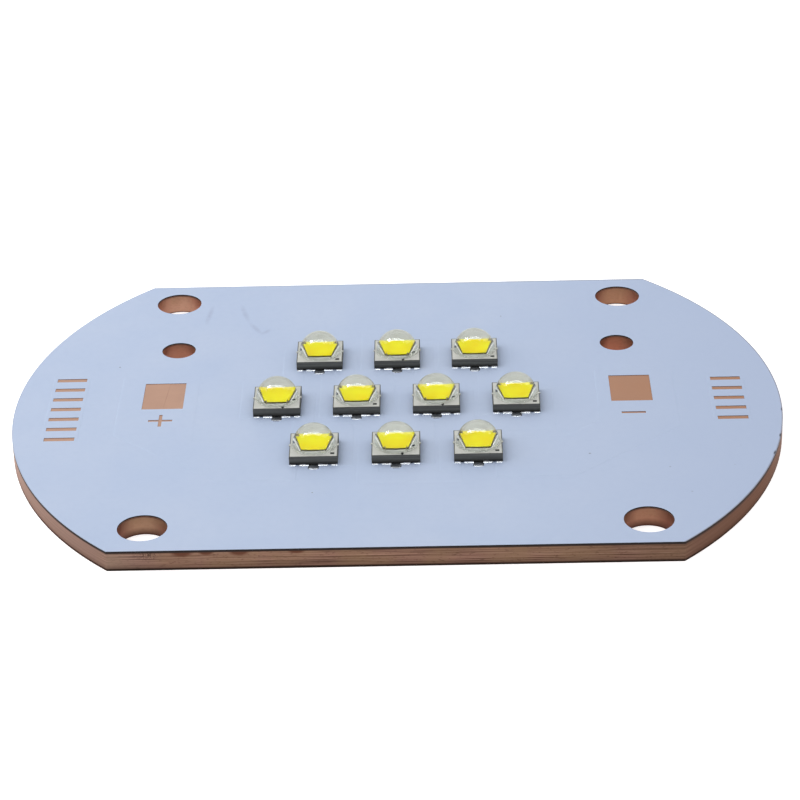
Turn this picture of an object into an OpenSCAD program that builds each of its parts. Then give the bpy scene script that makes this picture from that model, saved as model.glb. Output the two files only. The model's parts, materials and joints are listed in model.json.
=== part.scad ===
// Light engine: ten high-power diodes in series on a round copper-core board with two flats.
// Origin at the middle of the board's underside, X along the flats, +Z towards the light.

/* [Board] */
// Diameter of the round board
board_d = 81.5; // [79:0.5:100]
// Depth of the board between its two flats
board_depth = 58.8; // [57:0.2:70]
// Thickness of the copper core
core_t = 2; // [1:0.1:4]
// Thickness of the insulating layer on the core
dielectric_t = 0.13; // [0.06:0.01:0.2]
// Thickness of the copper foil
foil_t = 0.07; // [0.035:0.005:0.14]
// Thickness of the solder mask over the foil
mask_t = 0.04; // [0.03:0.005:0.05]
// Drop of the mask's face beside the foil
mask_step = 0.02; // [0.005:0.005:0.025]
// Room between the mask and what is soldered
mask_gap = 0.05; // [0.02:0.01:0.1]

/* [Holes] */
// Diameter of the screw holes
screw_hole_d = 5; // [3:0.1:6]
// From the middle of a screw hole to the round rim
screw_from_rim = 5.3945; // [4:0.0001:7]
// From the middle of a screw hole to the flat
screw_from_flat = 4.4; // [3.5:0.1:6]
// Diameter of the cable holes
cable_hole_d = 3.7; // [2.5:0.1:5]
// How far a cable hole stands inside the middle of its solder land
cable_hole_in = 0.8; // [0:0.05:2]
// From a solder land's back edge to the middle of its cable hole
cable_hole_behind = 7.85; // [6:0.05:10]

/* [Solder lands] */
// Width of a solder land
land_w = 4.4; // [3:0.1:6]
// Length of a solder land
land_l = 5.8; // [4:0.1:7]
// From the middle of a solder land to the round rim
land_from_rim = 15.75; // [13:0.05:16.5]
// Distance of the solder lands behind the middle
land_y = 2.6; // [1:0.1:4]
// Covered foil behind and inside a solder land
land_margin = 1.5; // [0.5:0.1:2]
// Covered foil outside a solder land
land_reach = 2.55; // [1:0.05:3]
// Height and width of the polarity signs
sign_size = 2.55; // [1.5:0.05:3]
// Line width of the polarity signs
sign_line = 0.36; // [0.2:0.02:0.6]
// From a solder land's front edge to the middle of its sign
sign_drop = 2.6; // [2:0.1:3]

/* [Edge marks] */
// From the middle of the edge marks to the round rim
mark_from_rim = 5.45; // [4.5:0.05:6.5]
// Length of a mark's bars
mark_w = 3.2; // [2:0.1:3.6]
// Line width of a mark's bars
mark_line = 0.7; // [0.3:0.05:1]
// Pitch of a mark's bars
mark_pitch = 2.2; // [1.5:0.1:2.4]
// Bars in the left mark
left_bars = 7; // [1:1:7]
// Bars in the right mark
right_bars = 5; // [1:1:7]
// Covered foil round the bars
mark_rim = 0.4; // [0.2:0.05:0.6]

/* [Tracks] */
// Gap between neighbouring tracks
track_gap = 0.4; // [0.2:0.05:0.8]
// Width of the link tracks between the rows
link_w = 2.3; // [1:0.1:2.6]
// Covered foil round a diode's contact
contact_rim = 0.15; // [0.05:0.05:0.2]
// Where the main tracks turn in, in front of the middle
turn_y = 5.9; // [5:0.1:7]
// Angle of the main tracks' slanted sides
turn_angle = 42; // [35:1:50]
// Front edge of the main tracks, in front of the middle
main_front = 16.1; // [14.5:0.1:18]

/* [Diodes] */
// Width of a diode's square substrate
led_w = 5; // [4.8:0.1:5.6]
// Height of a substrate with its contacts
substrate_h = 1; // [0.5:0.02:1.4]
// Pitch of the diodes in a row
led_pitch = 8.45; // [7:0.05:9.5]
// Pitch of the rows
row_pitch = 10.5; // [9.8:0.1:11]
// Thickness of the solder under a diode
solder_t = 0.05; // [0.05:0.01:0.12]
// Thickness of the metal contacts under a substrate
contact_t = 0.03; // [0.02:0.005:0.05]
// Width of the thermal contact
thermal_w = 2.78; // [2:0.02:2.78]
// Width of the plus and minus contacts
contact_w = 0.5; // [0.3:0.02:0.5]
// Gap between the contacts
contact_gap = 0.5; // [0.4:0.02:0.5]
// Substrate left bare at the ends of the contacts
contact_inset = 0.11; // [0.05:0.01:0.2]
// Reach of the solder fillets past the substrate
fillet_out = 0.12; // [0.05:0.01:0.2]
// Height of the solder fillets on the substrate's side
fillet_h = 0.07; // [0.05:0.01:0.3]
// Width of the thermal solder tabs
tab_w = 1; // [0.5:0.05:1.5]
// Reach of the thermal solder tabs past the substrate
tab_out = 0.9; // [0.3:0.05:1.1]
// Thickness of the thermal solder tabs
tab_t = 0.06; // [0.03:0.01:0.1]

/* [Diode top] */
// Length of the polarity bar
bar_l = 0.42; // [0.3:0.02:0.6]
// Width of the polarity bar
bar_w = 0.36; // [0.1:0.02:0.4]
// From the substrate's edges to the middle of the polarity bar, along the row
bar_from_side = 0.56; // [0.36:0.02:0.6]
// From the substrate's front edge to the middle of the polarity bar
bar_from_front = 0.6; // [0.4:0.02:0.64]
// Diameter of the pin mark
dot_d = 0.3; // [0.1:0.02:0.3]
// Offset of the pin mark from the middle, along the row
dot_x = 0.66; // [0.6:0.02:1.6]
// From the substrate's back edge to the middle of the pin mark
dot_from_back = 0.16; // [0.15:0.01:0.17]
// Depth of the polarity bar and the pin mark
mark_depth = 0.02; // [0.01:0.01:0.05]
// Length of the moulding nibs at the substrate's sides
nib_l = 0.3; // [0.2:0.05:0.6]
// Reach of the moulding nibs past the substrate
nib_out = 0.08; // [0.04:0.01:0.15]
// Thickness of the moulding nibs
nib_t = 0.12; // [0.05:0.01:0.2]

/* [Chip and lens] */
// Width of the square chip
chip_w = 2.2; // [1.6:0.05:2.5]
// Height of the bare chip
die_h = 0.12; // [0.06:0.01:0.16]
// Thickness of the phosphor coat
phosphor_t = 0.03; // [0.02:0.01:0.1]
// Width of the corners left bare for the bond wires
bond_corner = 0.22; // [0.16:0.02:0.4]
// Thickness of the bond wires
wire_t = 0.06; // [0.03:0.01:0.1]
// Span of a bond wire
wire_span = 0.5; // [0.4:0.02:0.55]
// Radius of the lens
lens_r = 2.2; // [2.15:0.01:2.22]
// Height of the straight foot under the dome
lens_foot_h = 0.1; // [0.06:0.02:0.4]
// Reach of the thin flange round the lens
flange_out = 0.08; // [0.02:0.01:0.1]
// Thickness of the thin flange
flange_t = 0.04; // [0.02:0.01:0.05]

/* [Hidden] */
$fn = 96;
// Overlap of a cutting tool with the air around what it cuts
cut = 1;
// Angle between the points of a hollow solder fillet
fillet_step = 15;

// Levels of the layers
z_core = core_t;
z_dielectric = z_core + dielectric_t;
z_foil = z_dielectric + foil_t;
z_mask = z_foil + mask_t;
z_mask_low = z_mask - mask_step;
z_contact = z_foil + solder_t;
z_substrate = z_contact + contact_t;
z_top = z_contact + substrate_h;

// Diodes: place and turn of each, row by row from the back
ROW_COUNTS = [3, 4, 3];
LEDS = [
    for (row = [0:2])
        for (column = [0:ROW_COUNTS[row] - 1]) [
            (column - (ROW_COUNTS[row] - 1) / 2) * led_pitch,
            (1 - row) * row_pitch,
            (column + row) % 2 * 180
        ]
];
LED_IDS = [0:len(LEDS) - 1];
// Links of the series circuit: from diode, to diode, and the side of its row that a link
// within one row runs on: 1 behind it, -1 in front of it, 0 for a link between two rows
LINKS = [
    [7, 3, 0],
    [3, 0, 0],
    [0, 4, 0],
    [4, 1, 0],
    [1, 2, 1],
    [2, 6, 0],
    [6, 5, -1],
    [5, 8, 0],
    [8, 9, -1]
];
LINK_IDS = [0:len(LINKS) - 1];
first_led = 7;
last_led = 9;
right_led = 6;

// A diode's contacts, from its middle
contact_in = thermal_w / 2 + contact_gap;
contact_mid = contact_in + contact_w / 2;
contact_l = led_w - 2 * contact_inset;
fillet_end = led_w / 2 + fillet_out;
tab_end = led_w / 2 + tab_out;
window_end = fillet_end + mask_gap;

// The foil beside a diode, from its middle
strip_in = contact_in - mask_gap - contact_rim;
strip_out = led_pitch / 2 - track_gap / 2;
strip_end = window_end + contact_rim;

// Holes, lands and marks, from the middle of the board
screw_y = board_depth / 2 - screw_from_flat;
screw_x = sqrt(pow(board_d / 2 - screw_from_rim, 2) - pow(screw_y, 2));
land_x = board_d / 2 - land_from_rim;
cable_hole_x = land_x - cable_hole_in;
cable_hole_y = land_y + land_l / 2 + cable_hole_behind;
mark_x = board_d / 2 - mark_from_rim;

// The main tracks
main_in = land_x - land_w / 2 - land_margin;
main_out = land_x + land_w / 2 + land_reach;
main_back = land_y + land_l / 2 + land_margin;
sign_y = land_y - land_l / 2 - sign_drop;
main_turn_x = main_out - (main_front - turn_y) / tan(turn_angle);
front_strip_y = -row_pitch + strip_end;
// The minus track's inner side turns in where it clears the link at the right end of the middle row
link_room = main_in - LEDS[right_led][0] - strip_out - track_gap;
inner_turn = max(turn_y - land_margin, (row_pitch + link_w) / 2 - link_room * tan(turn_angle));
inner_turn_x = main_in - (-front_strip_y - inner_turn) / tan(turn_angle);

// The bond wires, from a diode's middle
wire_x = chip_w / 2 - bond_corner / 2;
wire_y = wire_x + wire_span / 2;
wire_r = wire_span / 2;
chip_h = die_h + phosphor_t;

function number(i) = str(i < 9 ? "0" : "", i + 1);

// Places a shape at diode i, turned as it is
module at_led(i) {
    translate([LEDS[i][0], LEDS[i][1], 0]) rotate(LEDS[i][2]) children();
}

// Repeats a shape at +x and -x
module both_sides(x) {
    for (side = [-1, 1]) translate([side * x, 0, 0]) children();
}

// A block centred in X and Y, standing from one level to another
module block(x, y, low, high) {
    translate([-x / 2, -y / 2, low]) cube([x, y, high - low]);
}

// The board's outline, from one level to another
module board_plate(low, high) {
    intersection() {
        translate([0, 0, low]) cylinder(d = board_d, h = high - low);
        block(board_d + 2 * cut, board_depth, low - cut, high + cut);
    }
}

// The four screw holes and the two cable holes, through every layer
module holes() {
    for (side = [-1, 1]) {
        for (end = [-1, 1])
            translate([side * screw_x, end * screw_y, -cut])
                cylinder(d = screw_hole_d, h = z_mask + 2 * cut);
        translate([side * cable_hole_x, cable_hole_y, -cut])
            cylinder(d = cable_hole_d, h = z_mask + 2 * cut);
    }
}

// The thermal land under a diode, with its two tabs and room around it
module thermal_land(low, high, room) {
    block(thermal_w + 2 * room, 2 * (fillet_end + room), low, high);
    block(tab_w + 2 * room, 2 * (tab_end + room), low, high);
}

// Foil strip along one side of diode i, from its contact to the crossbar at bar_y
module strip(i, side, bar_y) {
    x = LEDS[i][0] + side * (strip_in + strip_out) / 2;
    front = min(LEDS[i][1] - strip_end, bar_y - link_w / 2);
    back = max(LEDS[i][1] + strip_end, bar_y + link_w / 2);
    translate([x - (strip_out - strip_in) / 2, front]) square([strip_out - strip_in, back - front]);
}

// The side of diode i that its minus contact is on
function minus_side(i) = LEDS[i][2] == 0 ? 1 : -1;

// Outline of link k: two strips and the crossbar between the rows
module link_outline(k) {
    from = LINKS[k][0];
    to = LINKS[k][1];
    bar_y = (LEDS[from][1] + LEDS[to][1] + LINKS[k][2] * row_pitch) / 2;
    from_side = minus_side(from);
    to_side = -minus_side(to);
    ends = [
        for (s = [strip_in, strip_out]) LEDS[from][0] + from_side * s,
        for (s = [strip_in, strip_out]) LEDS[to][0] + to_side * s
    ];
    strip(from, from_side, bar_y);
    strip(to, to_side, bar_y);
    translate([min(ends), bar_y - link_w / 2]) square([max(ends) - min(ends), link_w]);
}

// Outline of the plus track: from the left land round to the first diode's outer side
module plus_outline() {
    inner = LEDS[first_led][0] - strip_in;
    polygon([
        [-main_out, main_back],
        [-main_in, main_back],
        [-main_in, front_strip_y],
        [inner, front_strip_y],
        [inner, -main_front],
        [-main_turn_x, -main_front],
        [-main_out, -turn_y]
    ]);
}

// Outline of the minus track: from the last diode's outer side slanting out to the right land
module minus_outline() {
    inner = LEDS[last_led][0] + strip_in;
    polygon([
        [main_out, main_back],
        [main_in, main_back],
        [main_in, -inner_turn],
        [inner_turn_x, front_strip_y],
        [inner, front_strip_y],
        [inner, -main_front],
        [main_turn_x, -main_front],
        [main_out, -turn_y]
    ]);
}

// Foil under one row of edge marks
module mark_foil_outline(bars) {
    square([mark_w + 2 * mark_rim, (bars - 1) * mark_pitch + mark_line + 2 * mark_rim], center = true);
}

// One row of edge marks, as cutting blocks through the mask
module mark_bars(bars) {
    for (b = [0:bars - 1])
        translate([0, (b - (bars - 1) / 2) * mark_pitch, 0])
            block(mark_w, mark_line, z_foil - cut, z_mask + cut);
}

// Everything that is foil, from one level to another
module all_foil(low, high) {
    translate([0, 0, low]) linear_extrude(high - low) plus_outline();
    translate([0, 0, low]) linear_extrude(high - low) minus_outline();
    for (k = LINK_IDS) translate([0, 0, low]) linear_extrude(high - low) link_outline(k);
    translate([-mark_x, 0, low]) linear_extrude(high - low) mark_foil_outline(left_bars);
    translate([mark_x, 0, low]) linear_extrude(high - low) mark_foil_outline(right_bars);
}

// Openings of the mask over the solder lands and their signs
module land_windows() {
    both_sides(land_x) {
        translate([0, land_y, 0]) block(land_w, land_l, z_foil - cut, z_mask + cut);
        translate([0, sign_y, 0]) block(sign_size, sign_line, z_foil - cut, z_mask + cut);
    }
    translate([-land_x, sign_y, 0]) block(sign_line, sign_size, z_foil - cut, z_mask + cut);
}

// Openings of the mask under one diode
module led_windows() {
    both_sides(contact_mid) block(contact_w + 2 * mask_gap, 2 * window_end, z_foil - cut, z_mask + cut);
    thermal_land(z_dielectric - cut, z_mask + cut, mask_gap);
}

module copper_core() {
    color("#b9806a") difference() {
        union() {
            board_plate(0, z_core);
            for (i = LED_IDS) at_led(i) thermal_land(z_core, z_foil, 0);
        }
        holes();
    }
}

module dielectric_layer() {
    color("#2b211c") difference() {
        board_plate(z_core, z_dielectric);
        for (i = LED_IDS) at_led(i) thermal_land(z_core - cut, z_dielectric + cut, 0);
        holes();
    }
}

module solder_mask() {
    color("#d5deec") difference() {
        union() {
            board_plate(z_dielectric, z_mask_low);
            all_foil(z_foil, z_mask);
        }
        all_foil(z_dielectric - cut, z_foil);
        for (i = LED_IDS) at_led(i) led_windows();
        land_windows();
        translate([-mark_x, 0, 0]) mark_bars(left_bars);
        translate([mark_x, 0, 0]) mark_bars(right_bars);
        holes();
    }
}

module plus_track() {
    color("#c08b74") translate([0, 0, z_dielectric]) linear_extrude(foil_t) plus_outline();
}

module minus_track() {
    color("#c08b74") translate([0, 0, z_dielectric]) linear_extrude(foil_t) minus_outline();
}

module link_track(k) {
    color("#c08b74") translate([0, 0, z_dielectric]) linear_extrude(foil_t) link_outline(k);
}

module mark_foil(x, bars) {
    color("#c08b74") translate([x, 0, z_dielectric]) linear_extrude(foil_t) mark_foil_outline(bars);
}

// Square ceramic carrier of a diode, with its contacts, polarity bar, pin mark and moulding nibs
module substrate(i) {
    color("#4a4d4e") at_led(i) difference() {
        union() {
            block(led_w, led_w, z_substrate, z_top);
            block(thermal_w, contact_l, z_contact, z_substrate);
            both_sides(contact_mid) block(contact_w, contact_l, z_contact, z_substrate);
            block(led_w + 2 * nib_out, nib_l, z_top - nib_t, z_top);
        }
        translate([led_w / 2 - bar_from_side, bar_from_front - led_w / 2, 0])
            block(bar_l, bar_w, z_top - mark_depth, z_top + cut);
        translate([-dot_x, led_w / 2 - dot_from_back, z_top - mark_depth])
            cylinder(d = dot_d, h = mark_depth + cut);
    }
}

// One solder joint: fills the gap under a contact and rises in a hollow fillet at both ends
module joint(width) {
    rise = z_substrate + fillet_h - z_foil;
    hollow = [for (a = [0:fillet_step:90]) [fillet_end - fillet_out * sin(a), z_foil + rise * (1 - cos(a))]];
    under = [[led_w / 2, z_substrate], [contact_l / 2, z_substrate], [contact_l / 2, z_contact]];
    side = concat(hollow, under);
    other = [for (p = [len(side) - 1:-1:0]) [-side[p][0], side[p][1]]];
    rotate([90, 0, 90]) translate([0, 0, -width / 2]) linear_extrude(width) polygon(concat(side, other));
}

// The thermal joint's tab in front of the fillet, thinning out at its end
module solder_tab() {
    rotate([90, 0, 90]) translate([0, 0, -tab_w / 2]) linear_extrude(tab_w) polygon([
        [led_w / 2, z_foil],
        [tab_end, z_foil],
        [tab_end - tab_t, z_foil + tab_t],
        [led_w / 2, z_foil + tab_t]
    ]);
}

module solder_joints(i) {
    color("#c9ccd0") at_led(i) {
        both_sides(contact_mid) joint(contact_w);
        joint(thermal_w);
        for (turn = [0, 180]) rotate(turn) solder_tab();
    }
}

// Chip and phosphor coat, with two corners of the chip left bare for the bond wires
module chip_shape() {
    difference() {
        block(chip_w, chip_w, z_top, z_top + chip_h);
        both_sides(wire_x) translate([0, wire_x, 0])
            block(bond_corner, bond_corner, z_top + die_h, z_top + chip_h + cut);
    }
}

module chip(i) {
    color("#e7db42") at_led(i) chip_shape();
}

// Two bond wires: an arch from the chip's bare corner, and a leg down to the substrate
module wire_pair() {
    both_sides(wire_x) {
        translate([0, wire_y, z_top + die_h]) rotate([90, 0, 90])
            rotate_extrude(angle = 180) translate([wire_r, 0]) square(wire_t, center = true);
        translate([0, wire_y + wire_r, 0]) block(wire_t, wire_t, z_top, z_top + die_h);
    }
}

module bond_wires() {
    color("#d8b25a") for (i = LED_IDS) at_led(i) wire_pair();
}

// Clear lens: dome on a short straight foot with a thin flange, moulded round the chip and wires
module lens(i) {
    color("#e6eee9") at_led(i) difference() {
        translate([0, 0, z_top]) rotate_extrude() {
            translate([0, lens_foot_h]) intersection() {
                circle(r = lens_r);
                square(lens_r);
            }
            square([lens_r, lens_foot_h]);
            square([lens_r + flange_out, flange_t]);
        }
        chip_shape();
        wire_pair();
    }
}

copper_core();
dielectric_layer();
solder_mask();
plus_track();
minus_track();
mark_foil(-mark_x, left_bars);  // left_mark_foil
mark_foil(mark_x, right_bars);  // right_mark_foil
bond_wires();
for (k = LINK_IDS)
    link_track(k);
for (i = LED_IDS) {
    substrate(i);
    solder_joints(i);
    chip(i);
    lens(i);
}
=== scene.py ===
"""Looks of a ten-diode high-power light board: copper core, white lacquer and domed diodes."""
import json
import math

import bmesh
import bpy
from bmesh.types import BMEdge, BMFace, BMVert
from mathutils import Matrix, Vector, noise


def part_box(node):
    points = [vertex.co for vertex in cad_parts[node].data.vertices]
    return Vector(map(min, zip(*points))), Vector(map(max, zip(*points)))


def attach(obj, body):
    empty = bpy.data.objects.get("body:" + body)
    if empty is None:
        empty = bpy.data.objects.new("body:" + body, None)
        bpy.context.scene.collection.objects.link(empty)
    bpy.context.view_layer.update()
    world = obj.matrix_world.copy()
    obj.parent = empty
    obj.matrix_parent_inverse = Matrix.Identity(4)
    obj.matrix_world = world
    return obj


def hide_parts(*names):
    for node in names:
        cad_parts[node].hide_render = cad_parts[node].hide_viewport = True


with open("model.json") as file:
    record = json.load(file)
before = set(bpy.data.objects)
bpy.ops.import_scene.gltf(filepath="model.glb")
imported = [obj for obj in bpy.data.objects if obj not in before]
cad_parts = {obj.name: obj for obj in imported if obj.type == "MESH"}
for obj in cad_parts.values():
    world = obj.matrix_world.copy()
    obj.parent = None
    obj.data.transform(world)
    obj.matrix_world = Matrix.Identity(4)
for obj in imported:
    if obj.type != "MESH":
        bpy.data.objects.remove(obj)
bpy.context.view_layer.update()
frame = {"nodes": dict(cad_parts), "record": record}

# Shapes are modelled in millimetres, and each finished piece is brought to metres
MM = 0.001
MERGE = 1e-5
# Least share of a level face's normal that points up or down, and most of it on a wall
LEVEL_FACE = 0.9
WALL_FACE = 0.1


def node_box(node):
    """Lowest and highest corner of a CAD node, in millimetres."""
    low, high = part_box(node)
    return low / MM, high / MM


# Levels and outline of the board's layers
BOARD_R = node_box("copper_core")[1].x
HALF_DEPTH = node_box("copper_core")[1].y
Z_CORE = node_box("dielectric_layer")[0].z
Z_DIELECTRIC = node_box("dielectric_layer")[1].z
Z_FOIL = node_box("plus_track")[1].z
Z_MASK = node_box("solder_mask")[1].z
MASK_STEP = 0.02
Z_MASK_LOW = Z_MASK - MASK_STEP
MASK_RAMP = 0.12
RIM_STEPS = 160
HOLE_STEPS = 72
CORNER_STEPS = 4
CORNER_R = 0.15
UNDERSIDE_BREAK = 0.03
BREAK_STEPS = 2
# Least turn between the two faces at a rim, in radians
RIM_TURN = 1.0
# Distance at which corners of the CAD foil are merged, and turn in degrees below which faces are joined
FOIL_MERGE = 0.001
FOIL_TURN = 1
HOLES = [
    (mount["pos_m"][0] / MM, mount["pos_m"][1] / MM, mount["dims"]["r_mm"])
    for mount in frame["record"]["mounts"]
    if mount["kind"] == "bore"
]

# Solder lands, polarity signs and edge marks
LAND_X = 25.0
LAND_Y = 2.6
LAND_W = 4.4
LAND_L = 5.8
SIGN_Y = -2.9
SIGN_SIZE = 2.55
SIGN_LINE = 0.36
MARK_X = 35.3
MARK_W = 3.2
MARK_LINE = 0.7
MARK_PITCH = 2.2
LEFT_BARS = 7
RIGHT_BARS = 5

# Diodes; none of them reaches out past DIODES_END
LED_NUMBERS = ["%02d" % n for n in range(1, 11)]
TURNED_LEDS = ("02", "04", "06", "09")
LED_HALF = 2.5
DIODES_END = 20.0
Z_CONTACT = node_box("substrate_01")[0].z
Z_TOP = node_box("substrate_01")[1].z
CONTACT_T = 0.03
Z_CARRIER = Z_CONTACT + CONTACT_T
THERMAL_W = 2.78
CONTACT_W = 0.5
CONTACT_GAP = 0.5
CONTACT_X = THERMAL_W / 2 + CONTACT_GAP + CONTACT_W / 2
CONTACT_L = 4.78

# Carrier: its broken edges, the dark rim round its pale top, and the top's shift to the front
CARRIER_BREAK = 0.03
CARRIER_RIM = 0.05
SIDE_RIM = 0.11
TOP_SHIFT = 0.045
# Polarity bar, and the strips of painted light beside the chip: place, width and length
POLARITY_BAR = (1.94, -1.9, 0.42, 0.36)
LIT_STRIP_PLACE = (1.25, -0.2, 0.09, 2.1)
MARK_DEPTH = 0.02
# Pin mark: place, half width and half length
PIN_MARK = (-0.66, 2.25, 0.15, 0.22)
PIN_STEPS = 20
# Dark spot under the lens: place and radius
LENS_SPOT = (-1.49, 0.45, 0.2)
SPOT_STEPS = 14
UNDER_LENS_R = 2.36
UNDER_LENS_STEPS = 48
# Nibs at the carrier's sides: how far they reach in, out, to both sides and down
NIB_IN = 0.1
NIB_OUT = 0.08
NIB_HALF = 0.15
NIB_DOWN = 0.12
NIB_BREAK = 0.025

# Solder
MASK_GAP = 0.05
FILLET_OUT = 0.12
FILLET_H = 0.07
FILLET_STEPS = 6
TAB_W = 1.0
TAB_OUT = 0.9
TAB_H = 0.055
TAB_CUT = 0.25
TAB_BREAK = 0.03
TAB_BREAK_STEPS = 3
BEAD = 0.16
BEAD_IN = 0.05
BEAD_STEPS = 14
# Ripples along the solder: share of its reach, number in a millimetre, and distance between cuts
RIPPLE = 0.012
RIPPLE_PER_MM = 2.4
RIPPLE_CUT = 0.2
LEAST_CUTS = 3
# Steps through the noise from diode to diode, and across it
SEED_STEP = 11.3
SEED_ACROSS = 3.7

# Chip, wires and lens
CHIP_W = 2.2
DIE_H = 0.12
DIE_EDGE = 0.03
COAT_T = 0.03
COAT_BREAK = 0.012
BARE_CORNER = 0.22
WIRE_R = 0.018
WIRE_SIDES = 10
WIRE_ARCH = 0.25
WIRE_STEPS = 16
LENS_R = 2.2
LENS_STEPS = 32
LENS_SIDES = 96
LENS_FOOT = 0.1
FLANGE_R = 2.28
FLANGE_T = 0.04
FLANGE_STEPS = 4
# How far a moulded or soldered piece reaches into what carries it, so that no air shows between them
BEDDED = 0.012


def led_place(number):
    """Where a diode stands on the board, and which way it is turned."""
    low, high = node_box("lens_" + number)
    middle = (low + high) / 2
    turn = math.pi if number in TURNED_LEDS else 0.0
    return Matrix.Translation((middle.x, middle.y, 0)) @ Matrix.Rotation(turn, 4, "Z")


LED_PLACES = {number: led_place(number) for number in LED_NUMBERS}


# Small modelling steps that several pieces share


def only(kind, items):
    """The vertices, edges or faces among mixed parts of a mesh."""
    return [item for item in items if isinstance(item, kind)]


def quarter_turn(steps):
    """Angles from 0 to a right angle, both included."""
    return [math.pi / 2 * step / steps for step in range(steps + 1)]


def closed_loop(bm, points, z, place=Matrix.Identity(4)):
    """Edges of a flat closed outline through a few corner points."""
    verts = [bm.verts.new(place @ Vector((x, y, z))) for x, y in points]
    return [bm.edges.new((a, b)) for a, b in zip(verts, verts[1:] + verts[:1])]


def rectangle(x, y, width, length):
    """Corner points of a rectangle round a middle point."""
    return [
        (x + sx * width / 2, y + sy * length / 2)
        for sx, sy in ((-1, -1), (1, -1), (1, 1), (-1, 1))
    ]


def cross(x, y, wide, wide_l, narrow, narrow_l, cut=0.0):
    """Corner points of a wide and a narrow bar that cross, the narrow one's corners cut or not."""
    a, b, c, d = wide / 2, wide_l / 2, narrow / 2, narrow_l / 2
    quarter = [(a, b), (c, b), (c, d - cut)]
    if cut:
        quarter.append((c - cut, d))
    points = quarter + [(-px, py) for px, py in reversed(quarter)]
    points += [(-px, -py) for px, py in points]
    return [(x + px, y + py) for px, py in points]


def circle_loop(bm, x, y, r, z, steps):
    """Edges of a round outline."""
    place = Matrix.Translation((x, y, z))
    made = bmesh.ops.create_circle(bm, radius=r, segments=steps, matrix=place)
    return list({edge for vert in made["verts"] for edge in vert.link_edges})


def board_loop(bm, z):
    """Edges of the board's outline: two round ends, two flats and small round corners between them."""
    corner_y = HALF_DEPTH - CORNER_R
    corner_x = math.sqrt((BOARD_R - CORNER_R) ** 2 - corner_y ** 2)
    reach = math.atan2(corner_y, corner_x)
    corner_turn = math.pi / 2 - reach
    known = set(bm.edges)
    ends = []
    for side in (1, -1):
        vert = bm.verts.new((side * corner_x, -side * HALF_DEPTH, z))
        ends.append(vert)
        turns = [
            ((side * corner_x, -side * corner_y, z), corner_turn, CORNER_STEPS),
            ((0, 0, z), 2 * reach, RIM_STEPS),
            ((side * corner_x, side * corner_y, z), corner_turn, CORNER_STEPS),
        ]
        for centre, angle, steps in turns:
            spun = bmesh.ops.spin(bm, geom=[vert], cent=centre, axis=(0, 0, 1), angle=angle, steps=steps)
            vert = only(BMVert, spun["geom_last"])[0]
        ends.append(vert)
    bm.edges.new((ends[1], ends[2]))
    bm.edges.new((ends[3], ends[0]))
    return [edge for edge in bm.edges if edge not in known]


def fill(bm, edges):
    """Faces between closed outlines, with the inner outlines left open."""
    made = bmesh.ops.triangle_fill(bm, use_beauty=True, edges=edges, normal=(0, 0, 1))
    return only(BMFace, made["geom"])


def raise_faces(bm, faces, height):
    """Grows faces straight up or down into a solid, and returns the moved faces."""
    grown = bmesh.ops.extrude_face_region(bm, geom=faces)["geom"]
    bmesh.ops.translate(bm, vec=(0, 0, height), verts=only(BMVert, grown))
    return only(BMFace, grown)


def lower_edges(bm, edges, depth):
    """Draws walls straight down from a closed outline, and closes them with a face at their foot."""
    walls = bmesh.ops.extrude_edge_only(bm, edges=edges)["geom"]
    bmesh.ops.translate(bm, vec=(0, 0, -depth), verts=only(BMVert, walls))
    bmesh.ops.contextual_create(bm, geom=only(BMEdge, walls))


def sink(bm, outline, depth):
    """Closes an open outline with a sunken floor, and returns the new faces."""
    known = set(bm.faces)
    lower_edges(bm, outline, depth)
    return [face for face in bm.faces if face not in known]


def linked_faces(verts):
    """The faces of a new shape, from its vertices."""
    return list({face for vert in verts for face in vert.link_faces})


def block(bm, corner, opposite):
    """A box between two opposite corners, and its faces."""
    size = [abs(b - a) for a, b in zip(corner, opposite)]
    middle = (Vector(corner) + Vector(opposite)) / 2
    matrix = Matrix.Translation(middle) @ Matrix.Diagonal((*size, 1))
    made = bmesh.ops.create_cube(bm, size=1, matrix=matrix)
    return linked_faces(made["verts"])


def soften(bm, edges, width, steps=BREAK_STEPS):
    """Rounds edges, or cuts them where one step is asked for."""
    bmesh.ops.bevel(
        bm, geom=edges, offset=width, offset_type="OFFSET", segments=steps,
        profile=0.5, affect="EDGES", material=-1, clamp_overlap=True,
    )


def paint(faces, index):
    """Gives faces one of the materials of their piece."""
    for face in faces:
        face.material_index = index


def new_object(name, data):
    """A new object in the scene."""
    made = bpy.data.objects.new(name, data)
    bpy.context.scene.collection.objects.link(made)
    return made


def mesh_object(bm, name):
    """A new object in the scene from a modelled shape."""
    mesh = bpy.data.meshes.new(name)
    bm.to_mesh(mesh)
    bm.free()
    return new_object(name, mesh)


def finish_piece(bm, name, materials, node, sharp=30):
    """Closes a modelled shape, brings it to metres and sets it on the board in place of its CAD node."""
    bmesh.ops.remove_doubles(bm, verts=bm.verts, dist=MERGE)
    bmesh.ops.recalc_face_normals(bm, faces=bm.faces)
    for face in bm.faces:
        face.smooth = True
    for edge in bm.edges:
        if edge.is_manifold:
            edge.smooth = edge.calc_face_angle() < math.radians(sharp)
    bmesh.ops.scale(bm, vec=(MM, MM, MM), verts=bm.verts)
    piece = mesh_object(bm, name)
    for material in materials:
        piece.data.materials.append(material)
    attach(piece, "root")
    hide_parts(node)


def finish_on_diode(bm, number, name, materials, node, sharp):
    """Finishes a piece that was modelled round the origin, at the place of its diode."""
    bmesh.ops.transform(bm, matrix=LED_PLACES[number], verts=bm.verts)
    finish_piece(bm, name + number, materials, node + number, sharp)


# Shader building

# Range of the grain's values that most surfaces follow
GRAIN_RANGE = (0.3, 0.7)
# Share of a streak's half width that is fully covered
STREAK_EDGE = 0.2


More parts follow.
